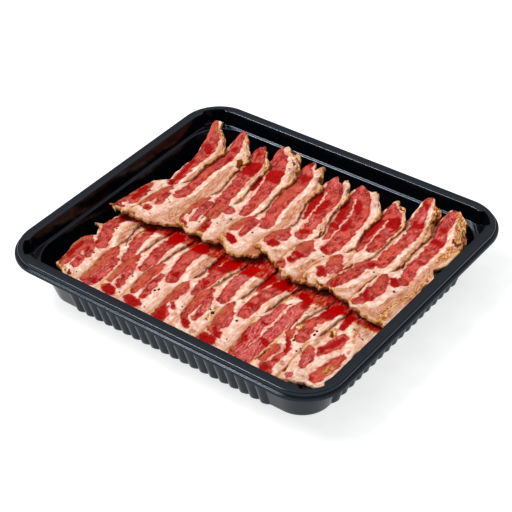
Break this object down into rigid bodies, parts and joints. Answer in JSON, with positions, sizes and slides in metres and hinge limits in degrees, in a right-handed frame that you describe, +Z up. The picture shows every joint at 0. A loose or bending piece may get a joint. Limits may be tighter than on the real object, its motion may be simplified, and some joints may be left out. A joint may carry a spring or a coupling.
{
  "type": "bacon pack",
  "caption": "Open black plastic tray with a flat flanged rim and fluted sides, filled with layers of cooked streaky bacon in two shingled rows.",
  "frame": {"origin": "middle of the tray's flat base, on the surface it stands on", "axes": "+X along the tray's long side, +Y to the rashers' curled back ends, +Z up out of the tray"},
  "size_m": [0.3258, 0.2864, 0.05],
  "materials": {
    "black_plastic": "glossy thermoformed black plastic sheet",
    "bacon": "cooked streaky bacon: moist pink-red lean with cream fat and browned edges",
    "bacon_underneath": "the same bacon in the layers underneath, in shadow"
  },
  "bodies": {
    "root": {"tray": "black_plastic", "lower_rashers": "bacon_underneath", "rasher_back_01": "bacon", "rasher_back_02": "bacon", "rasher_back_03": "bacon", "rasher_back_04": "bacon", "rasher_back_05": "bacon", "rasher_back_06": "bacon", "rasher_back_07": "bacon", "rasher_back_08": "bacon", "rasher_back_09": "bacon", "rasher_back_10": "bacon", "rasher_front_01": "bacon", "rasher_front_02": "bacon", "rasher_front_03": "bacon", "rasher_front_04": "bacon", "rasher_front_05": "bacon", "rasher_front_06": "bacon", "rasher_front_07": "bacon", "rasher_front_08": "bacon", "rasher_front_09": "bacon", "rasher_front_10": "bacon"}
  },
  "joints": []
}
